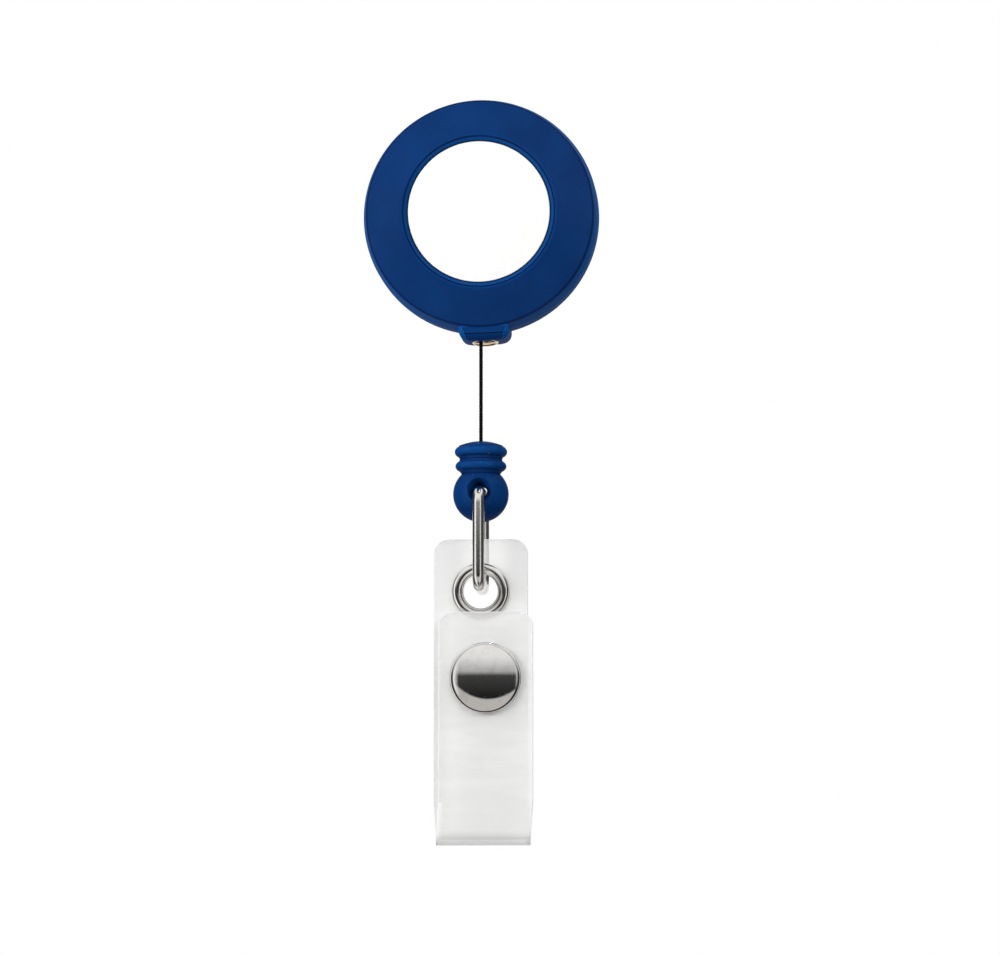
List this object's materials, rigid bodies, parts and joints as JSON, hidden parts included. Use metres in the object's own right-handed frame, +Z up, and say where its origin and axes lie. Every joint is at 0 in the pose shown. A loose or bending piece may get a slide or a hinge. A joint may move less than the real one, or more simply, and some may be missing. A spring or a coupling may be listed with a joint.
{
  "type": "retractable badge reel",
  "caption": "Round retractable badge reel with a belt clip, a spring-wound cord, a ribbed cord stop, a wire loop and a vinyl snap strap.",
  "frame": {"origin": "on the reel's axis, at the belt clip plate's face that bears on the belt", "axes": "+Z up as the reel hangs, -Y out of the reel's front face, +X to the right of a person who faces it"},
  "size_m": [0.032, 0.0167, 0.1013],
  "materials": {
    "blue_plastic": "semi-gloss, slightly translucent moulded plastic",
    "white_label": "gloss",
    "brass": "satin",
    "white_plastic": "as moulded",
    "spring_steel": "blued strip",
    "black_cord": "fine braid",
    "nickel": "polished nickel plate with fine scratches",
    "clip_steel": "nickel-plated spring steel",
    "clear_vinyl": "frosted clear vinyl"
  },
  "bodies": {
    "belt_clip": {"clip_plate": "clip_steel", "clip_rivet": "clip_steel", "clip_washer": "clip_steel"},
    "clip_spring": {"clip_tongue": "clip_steel"},
    "housing": {"front_cover": "blue_plastic", "rear_cover": "blue_plastic", "label_disc": "white_label", "cord_eyelet": "brass", "mainspring": "spring_steel"},
    "drum": {"spool": "white_plastic", "cord_winding": "black_cord", "anchor_knot": "black_cord"},
    "cord_end": {"cord": "black_cord", "stop_knot": "black_cord"},
    "bead": {"cord_stop": "blue_plastic"},
    "loop": {"strap_link": "nickel"},
    "strap": {"strap_back": "clear_vinyl", "strap_fold": "clear_vinyl", "grommet": "nickel", "grommet_washer": "nickel", "snap_stud": "nickel", "snap_post": "nickel"},
    "flap": {"strap_flap": "clear_vinyl", "snap_cap": "nickel", "snap_socket": "nickel"}
  },
  "joints": [
    {"name": "clip_flex", "type": "hinge", "parent": "belt_clip", "child": "clip_spring", "pos_m": [0, 0.0052, 0.011], "axis": [1, 0, 0], "range_deg": [0, 12], "stiffness_Nm_per_rad": 0.25},
    {"name": "reel_turn", "type": "hinge", "parent": "belt_clip", "child": "housing", "pos_m": [0, 0, 0], "axis": [0, 1, 0], "continuous": true},
    {"name": "cord_pull", "type": "slide", "parent": "housing", "child": "cord_end", "axis": [0, 0, -1], "range_m": [-0.013, 0.78], "stiffness_N_per_m": 1.5, "springref_m": -0.03, "deforming": ["cord", "cord_winding"]},
    {"name": "spool_spin", "type": "hinge", "parent": "housing", "child": "drum", "pos_m": [0, -0.00475, 0], "axis": [0, 1, 0], "range_deg": [-4997.1, 84.3], "deforming": ["mainspring"]},
    {"name": "stop_twist", "type": "hinge", "parent": "cord_end", "child": "bead", "pos_m": [0, -0.00475, -0.038], "axis": [0, 0, 1], "continuous": true},
    {"name": "link_swing", "type": "hinge", "parent": "bead", "child": "loop", "pos_m": [0, -0.00475, -0.03792], "axis": [0, 1, 0], "range_deg": [-75, 75]},
    {"name": "strap_swing", "type": "hinge", "parent": "loop", "child": "strap", "pos_m": [0, -0.00475, -0.05062], "axis": [0, 1, 0], "range_deg": [-60, 60]},
    {"name": "flap_open", "type": "hinge", "parent": "strap", "child": "flap", "pos_m": [0, -0.00635, -0.08335], "axis": [1, 0, 0], "range_deg": [0, 120], "deforming": ["strap_fold"]}
  ],
  "couplings": [
    {"joint": "spool_spin", "follows": "cord_pull", "rad_per_m": -111.79}
  ]
}
